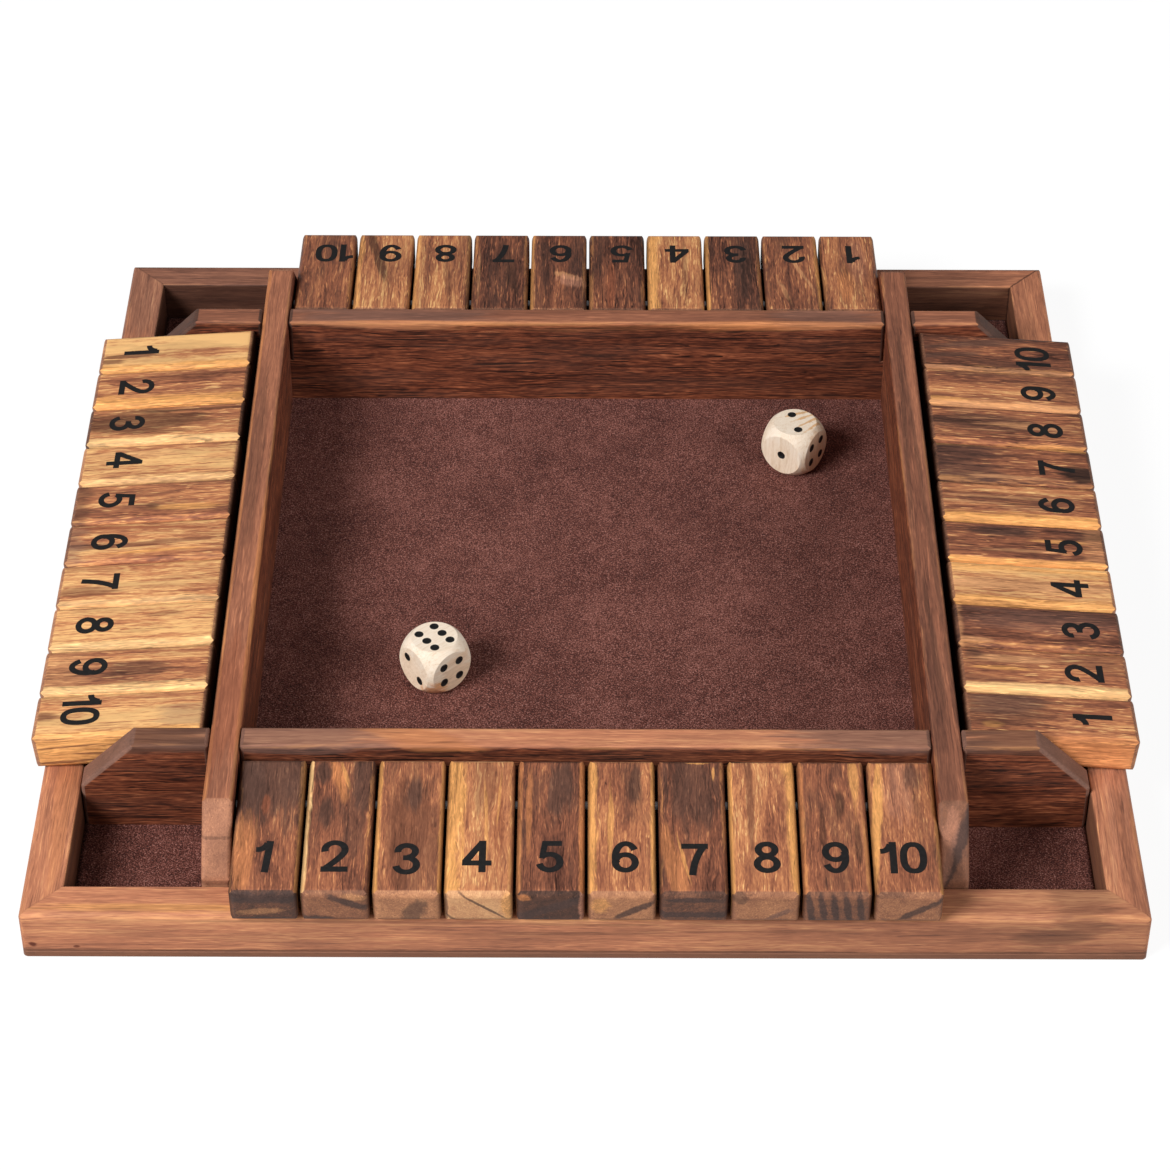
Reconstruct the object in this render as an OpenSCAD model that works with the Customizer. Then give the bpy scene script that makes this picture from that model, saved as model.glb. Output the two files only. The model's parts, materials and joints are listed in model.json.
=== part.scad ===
/* [Tray] */
// Outer width and length of the square frame
tray_w = 305; // [250:1:370]
// Width of a frame rail, seen from above
rail_w = 11.4; // [9:0.1:14]
// Height of the rail tops above the table
rail_top = 15.8; // [12:0.1:19]
// Round along the outer top edge of a rail
rail_round = 2; // [1:0.1:2.5]
// Round along the inner top edge of a rail
rail_ease = 0.8; // [0.4:0.1:1.2]
// Round on the upright corners of the frame
corner_round = 1.5; // [0.5:0.1:3]
// Width of the square pocket in each corner, between rail and board
pocket_w = 37; // [30:0.1:45]
// Thickness of the base panel
base_t = 2; // [1.5:0.1:3]
// Bevel on both sides of the joint between base panel and rails
joint_bevel = 0.35; // [0.2:0.05:0.5]
// Thickness of the felt lining
felt_t = 0.9; // [0.5:0.1:1.5]
// Gap between the felt's edge and the rails
felt_gap = 0.3; // [0.1:0.1:0.6]

/* [Partition boards] */
// Thickness of a board
board_t = 8.3; // [7:0.1:10]
// Height of the board tops above the table
board_top = 33; // [28:0.1:40]
// Round along the top edges of a board, and on the shoulders of its top notches
board_round = 1.3; // [0.6:0.1:2]
// Depth of the 45 degree cut on the top of each board end
end_cut = 15.5; // [8:0.1:16.5]
// Round at both ends of that cut
cut_round = 3; // [1:0.5:5]
// Round on the lower corners of a board
foot_round = 2.3; // [0.5:0.1:4]
// Gap between a board's ends and the rails
end_gap = 0.3; // [0.1:0.1:0.6]
// Side clearance in a half-lap notch
lap_gap = 0.15; // [0.05:0.01:0.2]

/* [Number tiles] */
// Tiles in each row
tile_count = 10; // [8:1:12]
// Thickness of a tile
tile_t = 11.5; // [8:0.1:13]
// Reach of a tile from the rod axis to its inner end
tile_inner = 12.4; // [9:0.1:14.5]
// How far the tiles overhang the frame at rest
tile_overhang = 2.8; // [1:0.1:4]
// Gap between neighbouring tiles
tile_gap = 0.8; // [0.3:0.1:1.2]
// Gap between the last tile of a row and the board beside it
row_gap = 0.4; // [0.3:0.05:2]
// Slide of the front, left, back and right rows towards their tile 10, as a share of that gap
row_slide = [0.7, -0.7, -0.7, 0.6]; // [-0.7:0.1:0.7]
// Round along the long edges of a tile
tile_edge = 2; // [0.6:0.1:2.5]
// Round along the top and bottom edges of a tile's ends
tile_end = 2; // [1:0.1:3]
// Round on the upright corners of a tile
tile_corner = 2.2; // [0.6:0.1:2.5]
// Gap between a board and the path of the tiles' inner ends
swing_gap = 0.5; // [0.3:0.1:2]
// Gap between a tile at rest and the rail that stops it
rest_gap = 0.15; // [0.1:0.05:0.3]

/* [Hinge rods] */
// Diameter of a rod
rod_d = 3; // [2:0.1:4]
// Depth of the rod axis below the board tops
rod_drop = 8.9; // [6.5:0.1:10]
// Depth of the blind holes that hold the rod ends
rod_seat = 5; // [3:0.1:6]
// Space between a rod's end and the bottom of its hole
rod_end_gap = 0.2; // [0.1:0.1:0.5]
// Radial clearance of a rod in its blind holes
seat_fit = 0.02; // [0.01:0.01:0.04]
// Radial running clearance of a tile on its rod
bore_fit = 0.08; // [0.03:0.01:0.1]

/* [Dice] */
// Size of a die over opposite faces
die_size = 16; // [12:0.5:19]
// Diameter, past the die's size, of the ball that rounds off its corners
die_ball = 5; // [3:0.5:6]
// Diameter of a pip
pip_d = 2.7; // [1.5:0.1:3]
// Depth of a pip
pip_depth = 0.45; // [0.2:0.05:0.6]
// Distance of a pip from the face's middle lines
pip_step = 2.8; // [2.2:0.1:3]
// Spacing of the rows of three on the six
six_step = 3.8; // [3.2:0.1:4]
// Gap between a die and the felt
die_gap = 0.1; // [0.05:0.05:0.3]
// Distance of the first die's centre from the left and the front board
die_1_in = [51.5, 54.2]; // [12:0.1:60]
// Direction that the first die's side with two pips faces, anticlockwise from +X
die_1_yaw = 219.5; // [0:0.5:360]
// Distance of the second die's centre from the right and the back board
die_2_in = [30, 33.4]; // [12:0.1:60]
// Direction that the second die's side with one pip faces, anticlockwise from +X
die_2_yaw = 237; // [0:0.5:360]

/* [Hidden] */
$fn = 48;
// Pieces of one solid overlap by this much where they would only touch
eps = 0.01;
// Cutters run this far past what they cut
past = 50;

// Each side's name, how far the front side is turned to reach it, whether its board lies over the
// other two where they cross, and how far its row of tiles lies off the middle
SIDES = [
    ["front", 0, false, row_slide[0] * row_gap], ["left", -90, true, row_slide[1] * row_gap],
    ["back", 180, false, row_slide[2] * row_gap], ["right", 90, true, row_slide[3] * row_gap]
];
function tile_name(side, n) = str("tile_", side[0], n < 10 ? "_0" : "_", n);

// Outer edge of the frame, inner faces of the rails and top of the felt
edge = tray_w / 2;
inside = edge - rail_w;
floor_z = base_t + felt_t;

// The pockets place the boards, and a row of tiles fills the length between two of them
board_out = inside - pocket_w;
board_mid = board_out - board_t / 2;
board_in = board_out - board_t;
tile_w = (2 * (board_in - row_gap) - (tile_count - 1) * tile_gap) / tile_count;

// The lap shoulders are half way up the boards
lap_z = (floor_z + board_top) / 2;
lap_w = board_t + 2 * lap_gap;

// The rods lie one tile's swing outside the boards
rod_out = board_out + swing_gap + norm([tile_inner, tile_t / 2]);
rod_z = board_top - rod_drop;

// A tile turns down about its rod until it rests on a rounded edge of its rail. There the middle of
// that round is half a tile, the round and the gap below the tile's middle plane.
function stop_tilt(out, round) =
    let (run = out - rod_out, fall = rod_z - (rail_top - round))
    atan2(fall, run) - asin((tile_t / 2 + round + rest_gap) / norm([run, fall]));
tilt = min(stop_tilt(edge - rail_round, rail_round), stop_tilt(inside + rail_ease, rail_ease));

// The top edge of a tile's outer end overhangs the frame
tile_outer = (edge + tile_overhang - rod_out - tile_t / 2 * sin(tilt)) / cos(tilt);

// Each face of a die: the places of its pips, and the turn that carries it there from the top.
// Six is up, two faces +X and four faces +Y.
ONE = [[0, 0]];
TWO = [[-pip_step, -pip_step], [pip_step, pip_step]];
FOUR = [for (x = [-pip_step, pip_step], y = [-pip_step, pip_step]) [x, y]];
SIX = [for (x = [-pip_step, pip_step], y = [-six_step, 0, six_step]) [x, y]];
FACES = [
    [SIX, [0, 0, 0]], [ONE, [180, 0, 0]],
    [TWO, [0, 90, 0]], [concat(FOUR, ONE), [0, -90, 0]],
    [FOUR, [-90, 0, 0]], [concat(TWO, ONE), [90, 0, 0]]
];
die_z = floor_z + die_gap + die_size / 2;

// Rectangle about the origin with rounded corners
module rounded_rect(w, h, r) {
    square([w - 2 * r, h], center = true);
    square([w, h - 2 * r], center = true);
    for (x = [-1, 1], y = [-1, 1])
        translate([x * (w / 2 - r), y * (h / 2 - r)]) circle(r);
}

// Turns what is drawn for the front side to another side
module on_side(side) {
    rotate([0, 0, side[1]]) children();
}

// Square bar along X, on its edge, that bevels the joint of base panel and rail
module joint_bevel_bar() {
    translate([0, -edge, base_t]) rotate([45, 0, 0])
        cube([tray_w + past, joint_bevel * sqrt(2), joint_bevel * sqrt(2)], center = true);
}

module base_panel() {
    color("peru") difference() {
        linear_extrude(base_t) rounded_rect(tray_w, tray_w, corner_round);
        for (side = SIDES) on_side(side) joint_bevel_bar();
    }
}

module felt_lining() {
    w = 2 * (inside - felt_gap);
    color("rosybrown") translate([0, 0, base_t + felt_t / 2]) cube([w, w, felt_t], center = true);
}

// Rail section with its outer face at zero, standing on the X axis
module rail_section() {
    h = rail_top - base_t;
    square([rail_w, h - rail_round]);
    translate([rail_round, 0]) square([rail_w - rail_round - rail_ease, h]);
    translate([rail_w / 2, 0]) square([rail_w / 2, h - rail_ease]);
    translate([rail_round, h - rail_round]) circle(rail_round);
    translate([rail_w - rail_ease, h - rail_ease]) circle(rail_ease);
}

// Rail with mitred ends that follow the rounded corners of the frame
module rail(side) {
    color("sienna") on_side(side) difference() {
        intersection() {
            translate([-edge, -edge, base_t]) rotate([90, 0, 90])
                linear_extrude(tray_w) rail_section();
            linear_extrude(rail_top + past) intersection() {
                rounded_rect(tray_w, tray_w, corner_round);
                polygon([[0, 0], [-edge - past, -edge - past], [edge + past, -edge - past]]);
            }
        }
        joint_bevel_bar();
    }
}

// Board section with rounded top corners, hanging from the X axis
module board_section(depth) {
    translate([-board_t / 2, -depth]) square([board_t, depth - board_round]);
    translate([-board_t / 2 + board_round, -depth]) square([board_t - 2 * board_round, depth]);
    for (x = [-1, 1])
        translate([x * (board_t / 2 - board_round), -board_round]) circle(board_round);
}

// Bar with rounded top edges, its top face sloping down through the middle of a board's end cut
module end_cut_bar() {
    length = 3 * tray_w;
    translate([inside - end_cut / 2, 0, board_top - end_cut / 2]) rotate([0, 45, 0])
        rotate([90, 0, 90]) linear_extrude(length, center = true) board_section(length);
}

// Side view of a board, with its lower corners and both ends of its end cuts rounded
module board_outline() {
    half = inside - end_gap;
    cut_x = inside - end_cut;
    cut_z = board_top - end_cut + end_gap;
    slope = cut_round * tan(22.5);
    side = [
        [half - foot_round, floor_z], [half, floor_z + foot_round], [half, cut_z - slope],
        [half - slope / sqrt(2), cut_z + slope / sqrt(2)],
        [cut_x + slope / sqrt(2), board_top - slope / sqrt(2)], [cut_x - slope, board_top]
    ];
    polygon(concat(side, [for (i = [len(side) - 1:-1:0]) [-side[i][0], side[i][1]]]));
    for (x = [-1, 1]) {
        translate([x * (cut_x - slope), board_top - cut_round]) circle(cut_round);
        translate([x * (half - cut_round), cut_z - slope]) circle(cut_round);
        translate([x * (half - foot_round), floor_z + foot_round]) circle(foot_round);
    }
}

// Board along X, standing on the felt, with both ends cut away at the top
module board_blank() {
    intersection() {
        translate([-inside, 0, board_top]) rotate([90, 0, 90])
            linear_extrude(2 * inside) board_section(board_top - floor_z);
        end_cut_bar();
        rotate([0, 0, 180]) end_cut_bar();
        rotate([90, 0, 0]) linear_extrude(board_t + past, center = true) board_outline();
        linear_extrude(board_top) rounded_rect(2 * (inside - end_gap), board_t, board_round);
    }
}

// What a notch from the top takes out: the lap itself, and the rounds on its shoulders
module top_notch() {
    flare = lap_w + 2 * board_round;
    translate([0, 0, lap_z]) linear_extrude(board_top + past) difference() {
        square([flare, board_t + 2 * eps], center = true);
        for (x = [-1, 1]) translate([x * (lap_w / 2 + past), 0])
            rounded_rect(2 * past, board_t, board_round);
    }
    translate([0, 0, board_top - board_round]) rotate([90, 0, 0])
        linear_extrude(board_t + past, center = true) difference() {
            translate([-flare / 2, 0]) square([flare, board_round + eps]);
            for (x = [-1, 1]) translate([x * flare / 2, 0]) circle(board_round);
        }
    translate([-lap_w / 2, -(board_t + past) / 2, lap_z]) cube([lap_w, board_t + past, past]);
}

// What a notch from below takes out
module bottom_notch() {
    translate([-lap_w / 2, -(board_t + past) / 2, lap_z - past]) cube([lap_w, board_t + past, past]);
}

// Blind holes in a board's inner face for the ends of the two rods that it carries
module rod_holes() {
    for (x = [-1, 1])
        translate([x * rod_out, board_t / 2 - rod_seat, rod_z]) rotate([-90, 0, 0])
            cylinder(r = rod_d / 2 + seat_fit, h = rod_seat + past);
}

module partition(side) {
    color("saddlebrown") on_side(side) translate([0, -board_mid, 0]) difference() {
        board_blank();
        rod_holes();
        for (x = [-1, 1]) translate([x * board_mid, 0, 0])
            if (side[2]) bottom_notch(); else top_notch();
    }
}

module rod(side) {
    color("silver") on_side(side) translate([0, -rod_out, rod_z]) rotate([0, 90, 0])
        cylinder(d = rod_d, h = 2 * (board_in + rod_seat - rod_end_gap), center = true);
}

// Tile lying level, with the rod axis along X and its outer end towards -Y
module tile_blank() {
    length = tile_inner + tile_outer;
    translate([0, (tile_inner - tile_outer) / 2, 0]) intersection() {
        rotate([90, 0, 90]) linear_extrude(tile_w, center = true)
            rounded_rect(length, tile_t, tile_end);
        rotate([90, 0, 0]) linear_extrude(length, center = true)
            rounded_rect(tile_w, tile_t, tile_edge);
        linear_extrude(tile_t, center = true) rounded_rect(tile_w, length, tile_corner);
    }
}

// Tile n of a side, counted from the left as that side's player sees it, at rest on the rail
module tile(side, n) {
    x = (n - (tile_count + 1) / 2) * (tile_w + tile_gap) + side[3];
    color("burlywood") on_side(side) translate([x, -rod_out, rod_z]) rotate([tilt, 0, 0])
        difference() {
            tile_blank();
            rotate([0, 90, 0]) cylinder(r = rod_d / 2 + bore_fit, h = tile_w + past, center = true);
        }
}

// Die about its own centre
module die() {
    pip_ball = (pow(pip_d / 2, 2) + pow(pip_depth, 2)) / (2 * pip_depth);
    color("wheat") difference() {
        intersection() {
            cube(die_size, center = true);
            sphere(d = die_size + die_ball);
        }
        for (face = FACES) rotate(face[1]) for (pip = face[0])
            translate([pip[0], pip[1], die_size / 2 - pip_depth + pip_ball]) sphere(pip_ball);
    }
}

// First die, six up
module die_1() {
    translate([die_1_in[0] - board_in, die_1_in[1] - board_in, die_z])
        rotate([0, 0, die_1_yaw]) die();
}

// Second die, two up
module die_2() {
    translate([board_in - die_2_in[0], board_in - die_2_in[1], die_z])
        rotate([0, 0, die_2_yaw]) rotate([0, -90, 0]) die();
}

base_panel();
felt_lining();
for (side = SIDES) {
    rail(side);
    partition(side);
    rod(side);
    for (n = [1:tile_count]) tile(side, n);
}
die_1();
die_2();
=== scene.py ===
"""Looks of the four-player shut the box board: wood, felt, printed numbers, pips, light and camera."""

import json
import math
import random

import bpy
from mathutils import Matrix, Vector, noise
from mathutils.geometry import delaunay_2d_cdt


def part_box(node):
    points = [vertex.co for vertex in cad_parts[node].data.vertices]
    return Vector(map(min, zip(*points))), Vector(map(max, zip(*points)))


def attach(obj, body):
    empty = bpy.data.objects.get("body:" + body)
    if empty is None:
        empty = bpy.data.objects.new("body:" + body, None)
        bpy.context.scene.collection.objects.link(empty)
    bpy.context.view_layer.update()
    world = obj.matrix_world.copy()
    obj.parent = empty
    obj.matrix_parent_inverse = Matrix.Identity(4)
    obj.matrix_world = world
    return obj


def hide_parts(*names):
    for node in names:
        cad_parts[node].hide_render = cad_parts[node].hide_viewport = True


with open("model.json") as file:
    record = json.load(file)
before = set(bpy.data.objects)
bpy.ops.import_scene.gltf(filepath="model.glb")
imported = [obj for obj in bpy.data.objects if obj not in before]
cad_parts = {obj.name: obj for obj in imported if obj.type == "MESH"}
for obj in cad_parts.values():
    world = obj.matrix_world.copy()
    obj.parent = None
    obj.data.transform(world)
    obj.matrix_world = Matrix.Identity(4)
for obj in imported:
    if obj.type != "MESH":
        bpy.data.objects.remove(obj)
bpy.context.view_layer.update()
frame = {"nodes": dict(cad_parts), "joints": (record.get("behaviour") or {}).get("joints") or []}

MM = 0.001
FAR = 1000.0  # mm: a reach that leaves a direction out of a patch

# The part's own sizes in mm, as part.scad has them
TILT = math.radians(4.22)  # the tiles' outer ends lie lower by this angle
TILE_TOP = 5.75  # half the thickness of a tile
TILE_SIDE = 9.18  # half its width
TILE_OUTER = 36.71  # from the rod to the outer end
FELT_LOW, FELT_TOP, FELT_SIDE = 2.0, 2.9, 281.6
DIE_HALF = 8.0
DIE_PLACES = {"die_1": (-44.3, -41.6), "die_2": (65.8, 62.4)}
DIE_HEIGHT = 11.0
DIE_YAWS = {"die_1": 219.5, "die_2": 237.0}
DIE_SEEDS = {"die_1": 11.0, "die_2": 23.0}  # of their grain
PIP_DEPTH, PIP_RADIUS, PIP_STEP, SIX_STEP = 0.45, 1.35, 2.8, 3.8

SIDES = {"front": (0, -1, 0), "left": (-1, 0, 0), "back": (0, 1, 0), "right": (1, 0, 0)}

# Which outputs of the texture coordinates node are used
NORMAL_OUT, OBJECT_OUT = 1, 3


# Node trees


def rgb(red, green, blue):
    """Linear colour from the 0 to 255 values of an ordinary colour picker."""

    def linear(c):
        c /= 255
        return c / 12.92 if c <= 0.04045 else ((c + 0.055) / 1.055) ** 2.4

    return (linear(red), linear(green), linear(blue), 1.0)


def palette(*colours):
    return tuple(rgb(*colour) for colour in colours)


class Tree:
    """Writes a node tree: each call adds one node and returns its output."""

    def __init__(self, tree):
        self.tree = tree

    def put(self, socket, value):
        if isinstance(value, bpy.types.NodeSocket):
            self.tree.links.new(value, socket)
        elif value is not None:
            socket.default_value = value

    def add(self, kind, *values, out=0, **settings):
        node = self.tree.nodes.new(kind)
        for name, value in settings.items():
            setattr(node, name, value)
        for socket, value in zip(node.inputs, values):
            self.put(socket, value)
        return node.outputs[out] if node.outputs else node

    def math(self, operation, a, b=None, c=None):
        return self.add("ShaderNodeMath", a, b, c, operation=operation)

    def vector(self, operation, a, b=None, scale=None, out=0):
        return self.add("ShaderNodeVectorMath", a, b, None, scale, operation=operation, out=out)

    def noise(self, place, detail=2.0, roughness=0.5, out=0):
        return self.add("ShaderNodeTexNoise", place, None, 1.0, detail, roughness, out=out)

    def smooth(self, value, low, high):
        kind = "ShaderNodeMapRange"
        return self.add(kind, value, low, high, 0.0, 1.0, interpolation_type="SMOOTHSTEP")

    def mix(self, share, a, b):
        node = self.tree.nodes.new("ShaderNodeMix")
        node.data_type = "RGBA"
        # The node's sockets for colours, among those for its other data types
        for socket, value in zip((node.inputs[0], *node.inputs[6:8]), (share, a, b)):
            self.put(socket, value)
        return node.outputs[2]

    def ramp(self, value, stops):
        node = self.tree.nodes.new("ShaderNodeValToRGB")
        points = node.color_ramp.elements
        while len(points) < len(stops):
            points.new(0.5)
        for point, (position, colour) in zip(points, stops):
            point.position, point.color = position, colour
        self.put(node.inputs[0], value)
        return node.outputs[0]

    def group(self, tree, **values):
        node = self.tree.nodes.new("ShaderNodeGroup")
        node.node_tree = tree
        for name, value in values.items():
            self.put(node.inputs[name], value)
        return node.outputs


def group_tree(name, inputs, outputs):
    """Empty node group, as (tree writer, inputs, output node)."""
    tree = bpy.data.node_groups.new(name, "ShaderNodeTree")
    for flow, sockets in (("INPUT", inputs), ("OUTPUT", outputs)):
        for label, kind in sockets.items():
            tree.interface.new_socket(label, in_out=flow, socket_type="NodeSocket" + kind)
    given, result = tree.nodes.new("NodeGroupInput"), tree.nodes.new("NodeGroupOutput")
    return Tree(tree), given.outputs, result.inputs


NOISE_MIDDLE = (0.5, 0.5, 0.5)
BEND, WAVE = 16.0, 3.0  # mm from side to side that the rings and the streaks may wander
# How clearly the fine grain, the grit and the pores stand out in relief
FINE_HEIGHT, GRIT_HEIGHT, PORE_HEIGHT = 0.5, 0.3, -0.5


def make_grain():
    """Wood's figure in mm, with the grain along X: streaks, faint rings, flecks, smoky clouds, pores."""
    g, given, result = group_tree(
        "grain",
        {"Place": "Vector", "Seed": "Float", "Pith": "Vector", "Ring": "Float"},
        {"Tone": "Float", "Relief": "Float", "Feather": "Float", "Fleck": "Float", "Smoke": "Float"},
    )
    shift = g.vector("SCALE", (9.17, 4.31, 6.79), scale=given["Seed"])
    place = g.vector("ADD", given["Place"], shift)

    def stretched(*per_mm, **settings):
        return g.noise(g.vector("MULTIPLY", place, per_mm), **settings)

    bend = stretched(0.012, 0.035, 0.035, detail=2.0, out=1)
    bend = g.vector("SCALE", g.vector("SUBTRACT", bend, NOISE_MIDDLE), scale=BEND)
    across = g.vector("SUBTRACT", g.vector("ADD", given["Place"], bend), given["Pith"])
    radius = g.vector("LENGTH", g.vector("MULTIPLY", across, (0, 1, 1)), out=1)
    waver = g.math("MULTIPLY", stretched(0.02, 0.3, 0.3), 0.9)
    turn = g.math("ADD", g.math("DIVIDE", radius, given["Ring"]), waver)
    part = g.math("FRACT", turn)
    late = g.math("SUBTRACT", g.smooth(part, 0.35, 0.9), g.smooth(part, 0.9, 1.0))
    wave = g.vector("SUBTRACT", stretched(0.08, 0.2, 0.2, detail=2.0, out=1), NOISE_MIDDLE)
    place = g.vector("ADD", place, g.vector("SCALE", wave, scale=WAVE))
    broad = stretched(0.012, 0.28, 0.28, detail=2.0)
    streaks = stretched(0.06, 0.9, 0.9, detail=3.0, roughness=0.6)
    fine = stretched(0.22, 1.8, 1.8, detail=3.0, roughness=0.7)
    grit = stretched(0.8, 2.6, 2.6, detail=1.0)
    mottle = stretched(0.05, 0.12, 0.12, detail=3.0)
    pores = g.smooth(stretched(0.07, 2.6, 2.6, detail=1.0), 0.6, 0.7)
    tone = g.math("MULTIPLY", pores, -0.2)
    # Each part of the figure, its middle value and its weight
    for value, middle, weight in (
        (broad, 0.5, 0.5), (streaks, 0.5, 0.4), (fine, 0.5, 0.75), (grit, 0.5, 0.35),
        (mottle, 0.5, 0.7), (late, 0.35, -0.07),
    ):
        centred = g.math("SUBTRACT", value, middle)
        tone = g.math("MULTIPLY_ADD", centred, weight, tone)
    g.put(result["Tone"], tone)
    height = g.math("MULTIPLY_ADD", fine, FINE_HEIGHT, g.math("MULTIPLY", grit, GRIT_HEIGHT))
    g.put(result["Relief"], g.math("MULTIPLY_ADD", pores, PORE_HEIGHT, height))
    feather = stretched(0.09, 0.5, 0.5, detail=4.0, roughness=0.65)
    g.put(result["Feather"], g.math("SUBTRACT", feather, 0.5))
    g.put(result["Fleck"], g.smooth(stretched(0.28, 2.1, 2.1, detail=1.0), 0.6, 0.7))
    cloud = stretched(0.05, 0.15, 0.15, detail=4.0, roughness=0.65)
    g.put(result["Smoke"], g.smooth(cloud, 0.46, 0.64))
    return g.tree


PATCH_FRAY = 2.4  # how far the grain frays a patch's edge


def make_patch():
    """Share of a soft-edged patch of colour at a place in mm."""
    g, given, result = group_tree(
        "patch",
        {
            "Place": "Vector", "Centre": "Vector", "Turn": "Vector", "Reach": "Vector",
            "Feather": "Float", "Soft": "Float", "Strength": "Float",
        },
        {"Share": "Float"},
    )
    inside = g.add(
        "ShaderNodeMapping",
        given["Place"], given["Centre"], given["Turn"], given["Reach"],
        vector_type="TEXTURE",
    )
    far = g.vector("LENGTH", inside, out=1)
    far = g.math("MULTIPLY_ADD", given["Feather"], PATCH_FRAY, far)
    low = g.math("SUBTRACT", 1.0, given["Soft"])
    high = g.math("ADD", 1.0, given["Soft"])
    share = g.math("SUBTRACT", 1.0, g.smooth(far, low, high))
    g.put(result["Share"], g.math("MULTIPLY", share, given["Strength"]))
    return g.tree


GRAIN, PATCH = make_grain(), make_patch()


# Materials


def new_material(name):
    material = bpy.data.materials.new(name)
    material.use_nodes = True
    g = Tree(material.node_tree)
    shader = next(n for n in g.tree.nodes if n.type == "BSDF_PRINCIPLED")
    return material, g, shader.inputs


def object_place(g, frame_matrix):
    """Place in mm in a piece's own frame, from its rest coordinates."""
    at, turn, _ = frame_matrix.decompose()
    return g.add(
        "ShaderNodeMapping",
        g.add("ShaderNodeTexCoord", out=OBJECT_OUT), tuple(at), tuple(turn.to_euler()), (MM,) * 3,
        vector_type="TEXTURE",
    )


def relief(g, shader, height, depth_mm, strength=1.0):
    bump = g.add("ShaderNodeBump", strength)
    node = bump.node
    node.inputs["Distance"].default_value = depth_mm * MM
    g.put(node.inputs["Height"], height)
    g.put(shader["Normal"], bump)


# Colours of stained patches in the wood
STAINS = {
    "dark": rgb(76, 50, 40), "black": rgb(44, 33, 30), "gold": rgb(230, 164, 96),
    "cream": rgb(246, 200, 138), "red": rgb(150, 86, 60), "grey": rgb(118, 88, 78),
    "tan": rgb(204, 146, 102), "brown": rgb(124, 78, 58), "pink": rgb(190, 132, 106),
    "orange": rgb(208, 134, 84), "umber": rgb(92, 62, 50), "slate": rgb(70, 54, 50),
    "smoke": rgb(86, 61, 52), "knot": rgb(92, 38, 28), "honey": rgb(216, 160, 98),
}
# Colours of wood from its darkest to its palest: the tiles' long grain, end grain, rails and boards,
# the boards' faces, darker and redder there with painted shade, and the dice
LONG_GRAIN = palette((50, 29, 23), (102, 63, 50), (156, 96, 70), (208, 138, 93), (250, 197, 131))
END_GRAIN = palette((50, 36, 31), (96, 66, 54), (146, 98, 74), (196, 138, 100), (232, 180, 130))
FRAME_GRAIN = palette((50, 28, 23), (100, 63, 51), (152, 97, 74), (200, 131, 97), (240, 172, 122))
FACE_GRAIN_AND_SHADE = palette((40, 19, 13), (76, 37, 25), (118, 62, 41), (162, 94, 62), (205, 134, 90))
DIE_GRAIN = palette((186, 150, 118), (222, 194, 164), (241, 222, 200), (249, 235, 218), (253, 244, 232))
PAINTED_SHADE = rgb(44, 24, 18)  # painted shade, laid on sides that lie in shade
# How clearly relief shows in the tone of boards' faces, and about what it adds there on average
FACE_CONTRAST, FACE_MEAN = 1.7, 0.54
END_CONTRAST = 0.6  # how much of the figure's contrast end grain has
PATCH_CONTRAST = 1.6  # how much of it shows through a patch
WOOD_RELIEF = 0.12  # mm


def paint(g, colour, place, patches, tone, feather, soft=0.35):
    """Lays patches (stain, (x, y, z), (rx, ry, rz), turn in degrees, strength) over a colour."""
    shade = g.math("MULTIPLY_ADD", tone, PATCH_CONTRAST, 1.0)
    for stain, centre, reach, turn, strength in patches:
        share = g.group(
            PATCH,
            Place=place, Centre=centre, Reach=reach, Feather=feather, Soft=soft,
            Turn=tuple(math.radians(a) for a in turn), Strength=strength,
        )[0]
        tinted = g.vector("SCALE", STAINS[stain][:3], scale=shade)
        colour = g.mix(share, colour, tinted)
    return colour


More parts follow.
